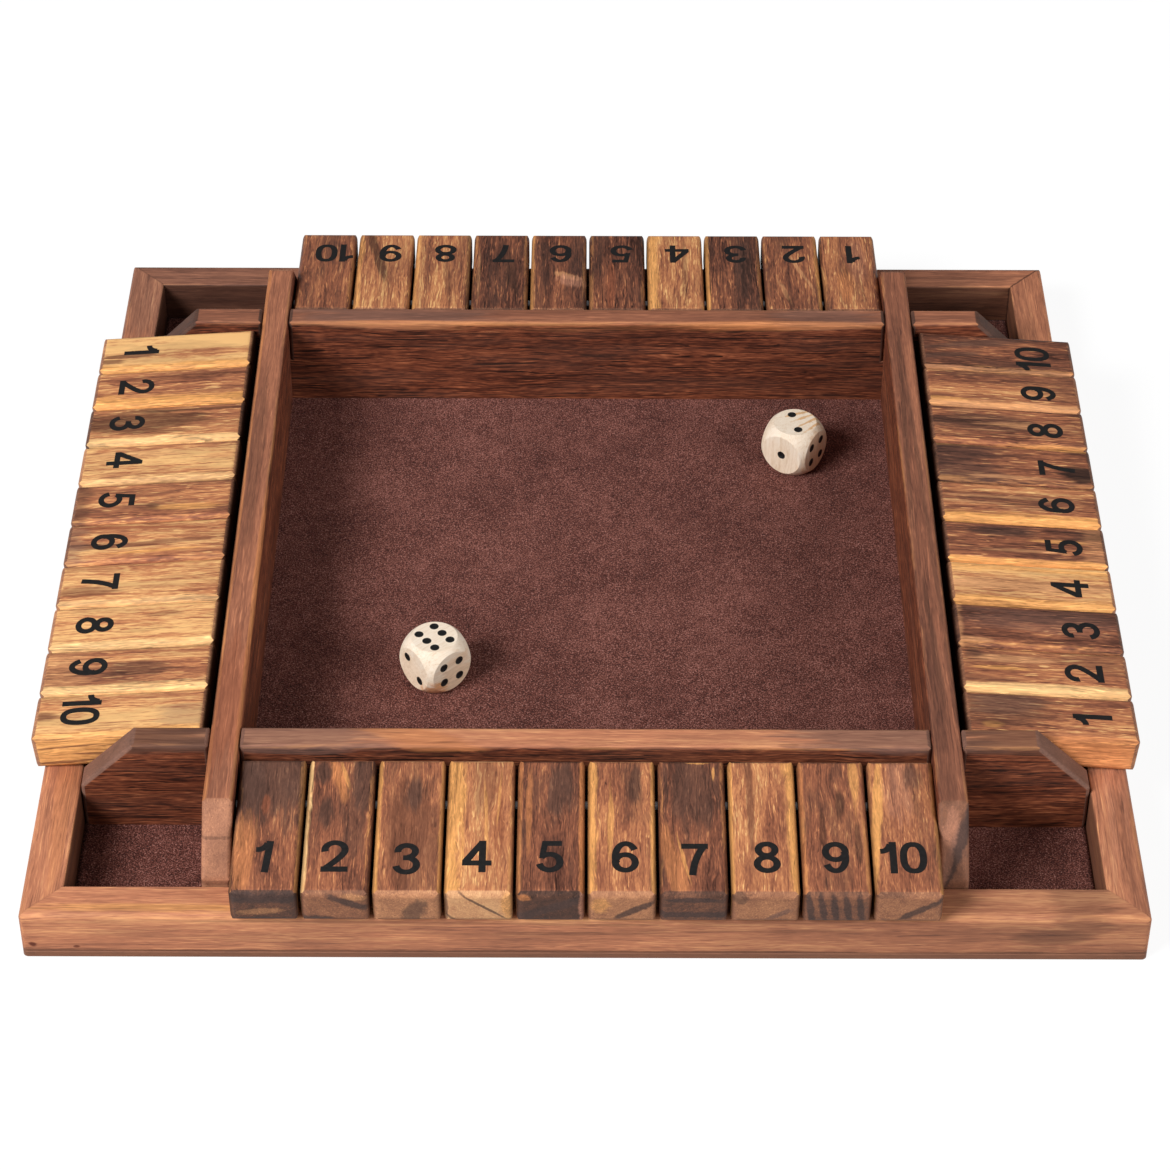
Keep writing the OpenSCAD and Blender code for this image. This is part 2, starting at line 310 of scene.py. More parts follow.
def wood(name, matrix, level, seed, patches=(), end_level=None, ends=(), face_level=None,
         contrast=1.0, flecks=0.3, smoke=0.45, wear=0.3, colours=LONG_GRAIN, shaded=(), stretch=1.0,
         pith=(0, 30, -25), ring=2.6, end_from=0.28, rough=0.55):
    """Oiled wood with its grain along X of matrix. Levels run from 0, the darkest, to 1.

    Sides that face X have end grain where end_level is given, and sides that face Y have the boards'
    face grain with painted shade where face_level is. patches lie all over, and ends on end grain alone.
    stretch below 1 draws the figure out along the grain. shaded lists the sides given painted
    shade, as (axis, 1 or -1, how dark, how far to each side of the middle).
    """
    material, g, shader = new_material(name)
    place = object_place(g, matrix)
    tone, height, feather, fleck, cloud = g.group(
        GRAIN,
        Place=g.vector("MULTIPLY", place, (stretch, 1, 1)), Seed=float(seed), Pith=pith, Ring=ring,
    )[:5]
    normal = g.add("ShaderNodeTexCoord", out=NORMAL_OUT)
    turned_to = [
        g.vector("DOT_PRODUCT", normal, tuple(axis), out=1)
        for axis in matrix.to_3x3().normalized().transposed()
    ]
    facing = [g.math("ABSOLUTE", value) for value in turned_to]
    tone = g.math("MULTIPLY_ADD", fleck, flecks, g.math("MULTIPLY", tone, contrast))

    def shades(colours, middle, gain=1.0):
        value = g.math("MULTIPLY_ADD", tone, gain, middle)
        return g.ramp(value, [(k / 4, colour) for k, colour in enumerate(colours)])

    colour = shades(colours, level)
    if face_level is not None:
        # Boards' faces: their own grain, darker and redder with painted shade
        face = g.smooth(facing[1], 0.55, 0.95)
        close = g.math("MULTIPLY_ADD", height, FACE_CONTRAST, face_level - FACE_MEAN)
        colour = g.mix(face, colour, shades(FACE_GRAIN_AND_SHADE, close))
    colour = g.mix(g.math("MULTIPLY", cloud, smoke), colour, STAINS["smoke"])
    colour = paint(g, colour, place, patches, tone, feather)
    rounded = g.math("MULTIPLY", g.smooth(facing[1], 0.12, 0.5), g.smooth(facing[2], 0.1, 0.5))
    broken = g.smooth(g.math("MULTIPLY_ADD", tone, 0.4, feather), -0.06, 0.14)
    worn = g.math("MULTIPLY", g.math("MULTIPLY", rounded, wear), broken)
    colour = g.mix(worn, colour, STAINS["gold"])
    if end_level is not None:
        cut = shades(END_GRAIN, end_level, END_CONTRAST)
        height = g.math("MULTIPLY", height, g.math("MULTIPLY_ADD", facing[0], -0.6, 1.0))
        cut = paint(g, cut, place, ends, tone, g.math("MULTIPLY", feather, 0.6), soft=0.3)
        colour = g.mix(g.smooth(facing[0], end_from, end_from + 0.16), colour, cut)
    # Painted shade on the sides that shaded lists
    for axis, sign, amount, reach in shaded:
        share = g.smooth(g.math("MULTIPLY", turned_to[axis], float(sign)), 0.5, 0.9)
        along = g.math("ABSOLUTE", g.add("ShaderNodeSeparateXYZ", place))
        near = g.math("SUBTRACT", 1.0, g.smooth(along, reach - 1, reach + 1))
        share = g.math("MULTIPLY", g.math("MULTIPLY", share, near), amount)
        colour = g.mix(share, colour, PAINTED_SHADE)
    g.put(shader["Base Color"], colour)
    g.put(shader["Roughness"], g.math("MULTIPLY_ADD", tone, 0.35, rough))
    shader["Specular IOR Level"].default_value = 0.2
    relief(g, shader, height, WOOD_RELIEF, 0.6)
    return material


def assign(node, material):
    """Gives every material slot of a CAD node a new material."""
    for slot in frame["nodes"][node].material_slots:
        slot.material = material


def tile_frame(side, number):
    """Frame of a tile at rest: X along the grain to its outer end, Z out of its printed face."""
    joint = next(j for j in frame["joints"] if j["name"] == f"flip_{side}_{number:02d}")
    out = Vector(SIDES[side])
    up = Vector((0, 0, 1))
    x = out * math.cos(TILT) - up * math.sin(TILT)
    z = out * math.sin(TILT) + up * math.cos(TILT)
    y = up.cross(out)
    return Matrix.Translation(joint["pos_m"]) @ Matrix((x, y, z)).transposed().to_4x4()


def board_frame(node, side):
    """Frame of a rail or board: X along it, Z up, its origin at the middle of its box."""
    low, high = (Vector(p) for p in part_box(node))
    out = Vector(SIDES[side])
    up = Vector((0, 0, 1))
    axes = Matrix((up.cross(out), -out, up)).transposed().to_4x4()
    return Matrix.Translation((low + high) / 2) @ axes


# Short forms of patches on a tile: a spot on its top, a band along its +Y or -Y side, a
# stretch from its inner or outer end, and a patch of its end face.


def spot(stain, x, y, rx, ry, turn=0, strength=0.8):
    return (stain, (x, y, 0), (rx, ry, FAR), (0, 0, turn), strength)


def edge(stain, side, width, strength=0.85, x=12.0, rx=FAR):
    return (stain, (x, side * TILE_SIDE, 0), (rx, width, FAR), (0, 0, 0), strength)


def inner(stain, length, strength=0.8):
    return (stain, (-12, 0, 0), (length, FAR, FAR), (0, 0, 0), strength)


def outer(stain, length, strength=0.8):
    return (stain, (TILE_OUTER, 0, 0), (length, FAR, FAR), (0, 0, 0), strength)


def end(stain, y, z, ry, rz, turn=0, strength=0.85):
    return (stain, (TILE_OUTER, y, z), (FAR, ry, rz), (turn, 0, 0), strength)


# Every tile: how pale it is from 0 to 1, the patches on it, how pale its outer end is, and the
# patches there
TILES = {
    "front": [
        (0.42, [inner("smoke", 21, 0.85), spot("smoke", -2, -6, 16, 4, 0, 0.7), edge("gold", 1, 0.8, 0.5),
                spot("orange", 22, -6, 12, 3, 0, 0.5), spot("red", 5, -1, 3, 1, 0, 0.6)],
         0.24, [end("slate", 0, 3.6, FAR, 1.7), end("slate", -1, -5.2, 9, 1.5),
                end("tan", -1, -1.5, 6, 1.2, 4, 0.4)]),
        (0.42, [edge("cream", -1, 1.1), spot("orange", -4, -0.5, 8, 1.8, 16, 0.7),
                spot("gold", -6, 1, 5, 0.6, 16, 0.5), spot("smoke", -4, 6, 12, 3.4, 0, 0.8),
                spot("smoke", 8, -4, 5, 2.2), spot("smoke", -7, -5, 4, 2),
                spot("smoke", 12, 4, 12, 3, 0, 0.5)],
         0.47, [end("slate", 4, 1.8, 7, 1.2, -24), end("tan", 5.5, 4, 3.4, 1.0, -10, 0.6),
                end("slate", -5, -4.8, 5, 1.8)]),
        (0.53, [spot("brown", 15, 0, 21, 6.6, 0, 0.8), spot("smoke", 0, 1, 6, 2.6), edge("gold", -1, 1.2),
                edge("gold", 1, 0.9, 0.6)],
         0.68, [end("slate", 2, -1.5, 2.8, 5, -28, 0.7)]),
        (0.68, [edge("gold", -1, 4.4), spot("brown", -4, 1, 12, 3.4, 0, 0.6),
                spot("red", 14, 5, 16, 1.4, 0, 0.5),
                spot("gold", 10, 1.5, 14, 0.5, 2, 0.5), spot("gold", 2, 5, 9, 0.4, -3, 0.5)],
         0.86, [end("slate", 1.5, 0.4, 9, 0.45, -38, 0.8), end("gold", 8, 1, 2, 5, 0, 0.6),
                end("slate", -7, -4.2, 3, 0.4, -40, 0.7), end("slate", -8.6, 0, 0.5, 5, 0, 0.6)]),
        (0.35, [spot("smoke", -2, 2, 11, 3.2), edge("orange", 1, 1.4), edge("orange", -1, 1.2, 0.6),
                spot("orange", 6, -6, 16, 0.8, 0, 0.5)],
         0.16, [end("slate", 0, 0, FAR, 1.5, 24, 0.7), end("pink", 8.6, 0, 1, 6),
                end("orange", -7, 4, 2, 1, 0, 0.6)]),
        (0.56, [edge("gold", -1, 2.2), spot("smoke", -3, 3.4, 7, 2.2),
                spot("gold", 12, -3, 14, 0.8, 0, 0.6), edge("gold", 1, 1.1)],
         0.64, [end("slate", 3.4, -0.6, 7, 1.1, 32), end("gold", -6, 1, 2.5, 3, 0, 0.5)]),
        (0.38, [spot("smoke", -1, 0, 13, 8, 0, 0.7), spot("gold", -11, 2, 0.5, 3, 0, 0.7),
                spot("gold", -7, 6, 2.4, 0.4, 0, 0.7), spot("orange", 27, -5, 13, 2.4, 12, 0.5),
                spot("gold", 24, -2.6, 9, 0.4, 12, 0.5)],
         0.28, [end("slate", 0, 3.4, 8, 0.9), end("slate", 0, -2.4, FAR, 1.1),
                end("orange", 0, -5.6, 8, 0.7, 0, 0.6)]),
        (0.68, [edge("gold", 1, 2.6), edge("gold", -1, 1.0), spot("brown", 4, -3.4, 18, 1.0, 0, 0.8)],
         0.60, [end("slate", -7, 4, 2.6, 2, 0, 0.6), end("grey", 4, -2, 4, 1, 30, 0.7)]),
        (0.46, [spot("dark", 4, 2, 5, 1.4), spot("dark", 19, 6.5, 6, 1.2, 0, 0.7),
                spot("dark", 14, -3, 8, 0.9, 0, 0.6),
                spot("gold", -4, 6, 9, 1.4, 0, 0.6), edge("orange", -1, 1.2, 0.6)],
         0.40, [end("slate", y, 0, 1.0, 6, 8, 0.85) for y in (-7.2, -3.8, -0.6, 2.8, 6.2)]),
        (0.55, [spot("gold", 12, -7.6, 24, 1.5, -5, 0.85), spot("pink", -2, -1, 12, 4, 0, 0.4),
                spot("smoke", -6, 3, 5, 2.6, 0, 0.6), edge("gold", 1, 1.0, 0.6)],
         0.57, [end("slate", 3, -0.4, 7.5, 1.1, 34), end("slate", -6, 5, 5, 0.8, 0, 0.4)]),
    ],
    "left": [
        # Left row: the gold and cream bands along each tile's +Y side, its long edge towards the camera,
        # are partly the wood's paler edge and partly painted highlight on the rounded edge
        (1.0, [edge("gold", 1, 2.6), spot("brown", 26, 2, 10, 0.9), spot("brown", 34, 5, 5, 1)], 0.6, []),
        (0.62, [edge("gold", 1, 4.4), spot("brown", 4, -5, 18, 2, 0, 0.5)], 0.5, []),
        (0.70, [spot("dark", 22, -1, 22, 5.4, 0, 0.7), spot("dark", 0, -6, 14, 0.6, 0, 0.6),
                edge("cream", 1, 2.2)], 0.3, []),
        (0.88, [spot("tan", 20, -4, 16, 2, 0, 0.4), edge("cream", 1, 2, 0.6)], 0.7, []),
        (0.56, [spot("gold", 2, 4, 12, 1.2, 0, 0.6), spot("dark", 12, 3, 2, 1.4, 0, 0.6),
                outer("umber", 5, 0.6)],
         0.4, []),
        (0.70, [spot("umber", 30, 2, 14, 1.2, 0, 0.6), spot("brown", 4, 1, 18, 1, 3, 0.7),
                outer("grey", 6, 0.5),
                spot("red", 14, -6, 20, 0.7, -3, 0.8), spot("gold", 10, 5, 14, 0.7, 2, 0.7)], 0.35, []),
        (0.84, [spot("brown", 28, 4, 9, 2.4, 0, 0.6), edge("cream", 1, 1.8, 0.7)], 0.6, []),
        (0.86, [spot("brown", 4, -4, 5, 1, 0, 0.5), edge("cream", 1, 2)], 0.7, []),
        (0.66, [spot("smoke", 8, 1, 10, 3.4, 0, 0.6), outer("tan", 12, 0.4), edge("cream", 1, 2.6)],
         0.6, []),
        (0.86, [spot("grey", -8, 2, 8, 5, 0, 0.4), spot("brown", 34, 0, 5, 1.6), edge("gold", 1, 2.2, 0.7),
                *(("brown", (x, 9.2, z), (11, 1.5, 0.4), (0, lean, 0), 0.75)
                  for x, z, lean in ((26, 2.2, 3), (14, -1.2, -4), (28, -3.4, 2), (6, 3, 5)))],
         0.6, [end("slate", 2, 0, 5, 1, 20)]),
    ],
    "back": [
        (0.55, [spot("orange", 4, 2, 10, 2.5, 0, 0.5), spot("pink", 20, -3, 12, 3, 0, 0.3)], 0.4, []),
        (0.46, [spot("tan", 12, -3, 14, 0.8, 18, 0.7), spot("tan", 0, 3, 9, 0.8, 14, 0.6),
                edge("gold", -1, 1.2, 0.7)],
         0.4, []),
        (0.31, [edge("gold", 1, 1.1), spot("smoke", 16, -4, 14, 3, 0, 0.6)],
         0.3, [end("slate", 0, 1, 9, 1.2, -20)]),
        (0.74, [edge("gold", 1, 4), spot("brown", 10, -3, 20, 0.9, 0, 0.6)], 0.5, []),
        (0.24, [spot("red", 4, 2, 16, 1.2, 0, 0.5)], 0.3, []),
        (0.34, [spot("tan", 9, -3, 1.6, 5, -28, 0.7), spot("pink", 6, -5, 3, 5, -28, 0.6),
                edge("gold", 1, 0.9, 0.6)],
         0.45, [end("slate", -3, 0, 1.4, 5, 20)]),
        (0.30, [spot("dark", 14, -3, 18, 1.8, 8), spot("tan", 10, 7, 16, 0.6, 0, 0.5)], 0.35, []),
        (0.68, [edge("dark", -1, 1.2, 0.6), spot("brown", 6, -2, 16, 1, 4, 0.6), edge("gold", 1, 1.4, 0.6)],
         0.5, []),
        (0.64, [spot("dark", 20, 2, 16, 1.6, 12, 0.8), edge("gold", 1, 1.6, 0.6)],
         0.5, [end("slate", 3, 1, 7, 1, 30)]),
        (0.54, [], 0.4, []),
    ],
    "right": [
        (0.60, [spot("grey", 0, 4, 10, 5, 0, 0.5), spot("gold", -5, -5, 3.0, 1.5, 0, 0.6),
                edge("orange", -1, 1.1, 0.8, 22, 20), spot("smoke", -2, 2, 18, 7, 0, 0.55)],
         0.5, []),
        (0.57, [spot("tan", 2, 4, 12, 1.4), spot("gold", -1, 0, 8, 0.8, 0, 0.6),
                spot("smoke", -8, 6, 2.6, 1.8, 0, 0.6), edge("cream", -1, 2.8, 0.75)], 0.5, []),
        (0.30, [inner("tan", 2.0, 0.5), spot("tan", -7, -7, 5, 1.4, 0, 0.7),
                spot("grey", 14, 2, 24, 5, 0, 0.3)], 0.3, []),
        (0.86, [edge("gold", 1, 4.4, 0.7), edge("cream", 1, 1.6, 0.6),
                spot("tan", 10, -1, 30, 2.6, 0, 0.85), edge("gold", -1, 2.4, 0.8)], 0.6, []),
        (0.40, [spot("smoke", 6, 5, 12, 2.4), spot("gold", 22, 1, 8, 1, 0, 0.6), outer("tan", 7, 0.4),
                edge("gold", -1, 1.4), spot("tan", 12, -4, 12, 0.8, 0, 0.6)], 0.35, []),
        (0.56, [spot("tan", 12, 2, 22, 0.6, 0, 0.7), spot("tan", 4, -1, 14, 0.5, 0, 0.7),
                spot("tan", 16, -3, 10, 0.5, 0, 0.7), edge("gold", -1, 3.4)], 0.5, []),
        (0.38, [edge("gold", 1, 1.8, 0.8), spot("black", 33, -4, 7, 3.6, 0, 0.9), inner("slate", 20, 0.6),
                spot("tan", 12, -7, 12, 0.7, 0, 0.6)],
         0.3, []),
        (0.48, [spot("smoke", 4, 1, 16, 4.5, 0, 0.7), spot("tan", -2, 6, 5, 1, 0, 0.6),
                *(spot("tan", x, y, 8, 0.3, 0, 0.6) for x, y in ((2, 3), (8, 0), (4, -3), (14, -5))),
                spot("tan", 20, 0, 12, 1.4, 0, 0.6), edge("gold", -1, 0.8, 0.5, 28, 14)], 0.4, []),
        (0.47, [edge("tan", -1, 2), spot("gold", -6, -7, 8, 1, 0, 0.5)], 0.5, []),
        (0.28, [spot("smoke", 6, 4, 16, 2, 10), spot("smoke", -4, -3, 10, 1.2, 10, 0.7),
                edge("tan", -1, 0.8, 0.5)],
         0.35, []),
    ],
}

# The figure of each row's wood: its contrast, flecks and stretch, and how dark the painted shade on its
# long sides is
FIGURES = {
    "front": (0.85, 0.22, 0.75, 0.6), "left": (1.15, 0.35, 0.5, 0),
    "back": (1.1, 0.3, 0.5, 0.5), "right": (1.15, 0.35, 0.5, 0),
}
PALE_TILE = 0.6  # tiles from this level up are less smoky
DARK_TILE_SMOKE, PALE_TILE_SMOKE = 0.45, 0.25
INNER_END_SHADE = 0.85  # how dark the painted shade on the end at the rod is

pick = random.Random(7)
for side, row in TILES.items():
    contrast, flecks, stretch, side_shade = FIGURES[side]
    for number, (level, patches, end_level, ends) in enumerate(row, 1):
        name = f"tile_{side}_{number:02d}"
        pith = (0, pick.uniform(-40, 40), pick.choice((-1, 1)) * pick.uniform(14, 45))
        # Painted shade on the tile's long sides and on its end at the rod
        long_sides = [(1, way, side_shade, FAR) for way in (1, -1)]
        material = wood(
            f"wood_{name}", tile_frame(side, number), level, pick.uniform(1, 90), patches,
            end_level, ends, pith=pith, ring=pick.uniform(1.8, 3.6),
            smoke=DARK_TILE_SMOKE if level < PALE_TILE else PALE_TILE_SMOKE,
            contrast=contrast, flecks=flecks, stretch=stretch,
            shaded=[(0, -1, INNER_END_SHADE, FAR), *long_sides],
        )
        assign(name, material)


# Short forms of patches on a rail or board, by the distance along it, across it (inwards from its
# middle) and up it (from its middle)


def band(stain, x, rx, strength=0.7, turn=0, y=0.0, ry=FAR, z=0.0, rz=FAR, lean=0):
    return (stain, (x, y, z), (rx, ry, rz), (0, lean, turn), strength)


OUTER_FACE = -5.7  # mm from the middle of a rail to its outer face
# Rails: how pale each is, and its patches
RAILS = {
    "front": (0.75, [
        band("gold", -112, 34, 0.5, y=-2.5, ry=1.6, z=6.9, rz=3), band("umber", 134, 8, 0.4, z=5, rz=5),
        band("umber", 104, 84, 0.3),
        band("umber", 126, 9, 0.5, y=OUTER_FACE, ry=3, z=-1, rz=3.4),
        band("umber", -60, 70, 0.35, y=OUTER_FACE, ry=3, z=4.6, rz=0.5, lean=0.6),
        band("umber", 20, 60, 0.3, y=OUTER_FACE, ry=3, z=1, rz=0.5, lean=-1),
        band("brown", 60, 40, 0.4, z=6.9, rz=2.5, y=1.5, ry=1.2),
        band("knot", -149.4, 1.3, 0.9, z=-4.2, rz=0.9, lean=20),
        band("knot", -137.6, 0.8, 0.8, z=-4.9, rz=0.4),
    ]),
    "left": (0.67, [band("orange", 90, 50, 0.3, y=2, ry=3), band("grey", -136, 24, 0.45)]),
    "back": (0.57, [band("grey", 120, 40, 0.45), band("smoke", -110, 30, 0.4)]),
    "right": (0.68, [band("dark", -70, 14, 0.35, turn=8, ry=2.4), band("pink", -20, 90, 0.3)]),
}
MITRE_MIDDLE = 146.8  # mm from a rail's middle to the middle of its mitre
JOINT_HEIGHT = -7.0  # mm: about where a rail meets the base panel, from its middle
PLANK_STRETCH, PLANK_RING = 0.35, 4.2  # the figure of rails and boards
# How dark the painted shade is on the face of each board towards its tiles, and for how far to each side of
# its middle
BOARD_SHADES = {"front": 0.1, "left": 0.8, "back": 0.8, "right": 0.8}
BOARD_SHADE_REACH = 95
# How clear the dark line of the mitre is at the +X end of each rail
MITRES = {"front": 0.12, "left": 0.12, "back": 0.3, "right": 0.75}


def top_band(stain, x, rx, strength=0.7, turn=0, y=0.0, ry=FAR):
    """A band on a board's top alone."""
    return band(stain, x, rx, strength, turn, y, ry, z=15.05, rz=2.4)


# Boards: how pale their tops, ends and faces are (the faces with painted shade), their patches and those of
# their ends
BOARDS = {
    "front": (0.77, 0.40, 0.30, [
        top_band("grey", -85, 30, 0.7), top_band("grey", 84, 26, 0.7, turn=12),
        top_band("orange", -47, 5, 0.5, turn=60), top_band("umber", -120, 20, 0.85),
        top_band("umber", 120, 20, 0.75),
        top_band("brown", 56, 3, 0.5, y=-3, ry=0.6),
    ], [band("grey", 0, FAR, 0.6)]),
    "left": (0.53, 0.58, 0.28, [
        top_band("umber", -30, 40, 0.4, y=-1, ry=2), top_band("orange", 0, FAR, 0.6, y=-3.6, ry=0.6),
        top_band("orange", 50, 60, 0.6, y=3.6, ry=0.8), top_band("red", 84, 26, 0.5),
    ], [band("pink", 0, FAR, 0.35), band("umber", 0, FAR, 0.45, z=7.8, rz=0.3),
        band("umber", 0, FAR, 0.5, z=-1.4, rz=0.8)]),
    "back": (0.50, 0.30, 0.24, [
        top_band("grey", 62, 30, 0.6), top_band("grey", -76, 14, 0.5),
        top_band("orange", 0, 88, 0.15, y=4.0, ry=1.2),
        top_band("orange", -62, 30, 0.5, y=4.0, ry=1.5), top_band("orange", 58, 36, 0.45, y=4.0, ry=1.2),
        top_band("brown", 0, 60, 0.4, y=-2.6, ry=1.2),
    ], [band("slate", 0, FAR, 0.5)]),
    "right": (0.44, 0.40, 0.30, [
        top_band("umber", 0, 70, 0.5, y=-1.6, ry=0.8, turn=1.2),
        top_band("umber", 40, 50, 0.5, y=1.8, ry=0.7, turn=-1.4),
        top_band("umber", -60, 30, 0.5, y=0.4, ry=0.9, turn=2),
    ], [("slate", (0, -0.6, 6), (FAR, 1.8, 14), (30, 0, 0), 0.85),
        ("pink", (0, 3, 4), (FAR, 2.2, 12), (20, 0, 0), 0.4)]),
}


def plank(node, side, level, patches, **finish):
    """Gives a rail or board its wood."""
    matrix, seed = board_frame(node, side), pick.uniform(1, 90)
    pith = (0, 60, pick.uniform(-50, -30))
    material = wood(
        f"wood_{node}", matrix, level, seed, patches, colours=FRAME_GRAIN,
        stretch=PLANK_STRETCH, pith=pith, ring=PLANK_RING, **finish,
    )
    assign(node, material)


sides = list(SIDES)
for k, side in enumerate(sides):
    level, patches = RAILS[side]
    ends = ((1, side), (-1, sides[(k + 1) % 4]))
    lines = [band("dark", x * MITRE_MIDDLE, 0.3, MITRES[corner], turn=x * 45) for x, corner in ends]
    lines.append(band("dark", 0, FAR, 0.7, y=OUTER_FACE, ry=3, z=JOINT_HEIGHT, rz=0.9))
    # Each rail gets painted shade on its inner face
    plank(
        f"rail_{side}", side, level, patches + lines,
        contrast=0.75, flecks=0.12, smoke=0.25, wear=0.15, shaded=[(1, 1, 0.7, FAR)],
    )
    level, end_level, face_level, patches, cuts = BOARDS[side]
    plank(
        f"partition_{side}", side, level, patches, end_level=end_level, ends=cuts,
        face_level=face_level, contrast=0.55, flecks=0.14, smoke=0.2, wear=0.2,
        shaded=[(1, -1, BOARD_SHADES[side], BOARD_SHADE_REACH)], end_from=0.1, rough=0.65,
    )
base_wood = wood(
    "wood_base_panel", Matrix.Identity(4), 0.4, 31.0,
    contrast=0.2, flecks=0.0, smoke=0.0, wear=0.0, ring=6.0, colours=END_GRAIN,
)
assign("base_panel", base_wood)


def die_frame(die):
    """Frame of a die: its origin at its middle, and the face with six pips towards Z."""
    x, y = DIE_PLACES[die]
    turn = Matrix.Rotation(math.radians(DIE_YAWS[die]), 4, "Z")
    if die == "die_2":
        turn = turn @ Matrix.Rotation(math.radians(-90), 4, "Y")
    return Matrix.Translation(Vector((x, y, DIE_HEIGHT)) * MM) @ turn


# Patches on the dice, from each die's middle: stain, place, reach, turn about Z, strength. The broad
# honey ones on their sides are painted shade, warmed by light from the felt; the rest are oiled patches in
# the wood
DIE_PATCHES = {
    "die_1": [("orange", (0, -9.5, -6), (4.2, 3.6, 3.2), 0, 0.8),
              ("honey", (8, -7, -2), (6, 7, 9), 0, 0.35), ("honey", (-8, -6, -3), (8, 8, 8), 0, 0.2)],
    "die_2": [("honey", (9, -5, -2), (7, 8, 9), 0, 0.45), ("honey", (-6, -8, -5), (9, 9, 9), 0, 0.12),
              *(("honey", (1.8 + 1.5 * k, 4.6 - 2.0 * k, 8), (5, 0.5, 2.4), 20 + 9 * k, 0.75)
                for k in range(4))],
}


def die_patches(die):
    """The die's patches in its own frame."""
    own = die_frame(die)
    back = own.inverted()
    for stain, place, reach, yaw, strength in DIE_PATCHES[die]:
        centre = back @ (own.to_translation() + Vector(place) * MM) / MM
        turn = (back @ Matrix.Rotation(math.radians(yaw), 4, "Z")).to_euler()
        yield (stain, tuple(centre), reach, tuple(math.degrees(a) for a in turn), strength)


for die in DIE_PLACES:
    material = wood(
        f"wood_{die}", die_frame(die), 0.5, DIE_SEEDS[die], list(die_patches(die)),
        contrast=0.6, flecks=0.0, smoke=0.0, wear=0.0, colours=DIE_GRAIN, ring=1.4,
    )
    assign(die, material)


def steel(name):
    """Ground steel wire, with fine drawn lines along it."""
    material, g, shader = new_material(name)
    place = g.vector("MULTIPLY", g.add("ShaderNodeTexCoord", out=OBJECT_OUT), (4000, 4000, 9000))
    lines = g.noise(place, detail=3.0)
    g.put(shader["Base Color"], g.ramp(lines, [(0.3, rgb(176, 176, 180)), (0.7, rgb(206, 206, 208))]))
    g.put(shader["Roughness"], g.math("MULTIPLY_ADD", lines, 0.3, 0.15))
    shader["Metallic"].default_value = 1.0
    return material


rod_steel = steel("steel_rods")
for side in SIDES:
    assign(f"rod_{side}", rod_steel)


def ink(name, colour, rough):
    """Matt paint with a slightly uneven coat."""
    material, g, shader = new_material(name)
    place = g.vector("SCALE", g.add("ShaderNodeTexCoord", out=OBJECT_OUT), scale=1 / MM)
    coat = g.noise(g.vector("SCALE", place, scale=1.1), detail=4.0, roughness=0.6)
    thin = tuple(c * 1.6 + 0.002 for c in colour[:3]) + (1.0,)
    g.put(shader["Base Color"], g.ramp(coat, [(0.35, colour), (0.75, thin)]))
    g.put(shader["Roughness"], g.math("MULTIPLY_ADD", coat, 0.3, rough))
    shader["Specular IOR Level"].default_value = 0.3
    relief(g, shader, coat, 0.04, 0.5)
    return material


number_ink = ink("ink_numbers", rgb(24, 22, 22), 0.45)
pip_ink = ink("ink_pips", rgb(20, 19, 19), 0.3)


FELT_LEVEL = -1.1  # brings the sum of the felt's layers to the middle of its colours


def felt_material():
    """Pressed wool felt: matted fibres, worn lighter and darker in broad patches, with some lint."""
    material, g, shader = new_material("felt_wool")
    place = g.vector("SCALE", g.add("ShaderNodeTexCoord", out=OBJECT_OUT), scale=1 / MM)

    def speckle(per_mm, **settings):
        return g.noise(g.vector("SCALE", place, scale=per_mm), **settings)

    worn = speckle(0.035, detail=4.0, roughness=0.6)
    tufts = speckle(0.25, detail=3.0, roughness=0.6)
    fibres = speckle(2.4, detail=1.0, roughness=0.7)
    bent = g.vector("ADD", place, g.vector("SCALE", speckle(0.4, out=1), scale=2.5))
    strands = g.noise(g.vector("MULTIPLY", bent, (0.5, 4.0, 1.0)), detail=2.0)
    strands_2 = g.noise(g.vector("MULTIPLY", bent, (4.0, 0.5, 1.0)), detail=2.0)
    value = g.math("MULTIPLY", worn, 0.5)
    for part, weight in ((tufts, 0.4), (fibres, 2.0), (strands, 0.15), (strands_2, 0.15)):
        value = g.math("MULTIPLY_ADD", part, weight, value)
    colour = g.ramp(
        g.math("MULTIPLY_ADD", value, 1.0, FELT_LEVEL),
        [(0.1, rgb(50, 22, 18)), (0.5, rgb(101, 54, 45)), (0.9, rgb(162, 106, 94))],
    )
    lint = g.smooth(speckle(2.4, detail=0.0), 0.72, 0.8)
    colour = g.mix(g.math("MULTIPLY", lint, 0.3), colour, rgb(206, 168, 158))
    g.put(shader["Base Color"], colour)
    g.put(shader["Roughness"], g.math("MULTIPLY_ADD", fibres, 0.1, 0.9))
    shader["Specular IOR Level"].default_value = 0.08
    shader["Sheen Weight"].default_value = 0.05
    shader["Sheen Roughness"].default_value = 0.6
    relief(g, shader, g.math("MULTIPLY_ADD", fibres, 1.0, g.math("MULTIPLY", strands, 0.5)), 0.5, 0.7)
    return material


# Printed numbers

GLYPH_HEIGHT, DIGIT_HEIGHT = 10.4, 11.2  # mm: as the glyphs below are drawn, and as they are printed
DIGIT_MIDDLE = 13.3  # from a tile's outer end to the middle of its number
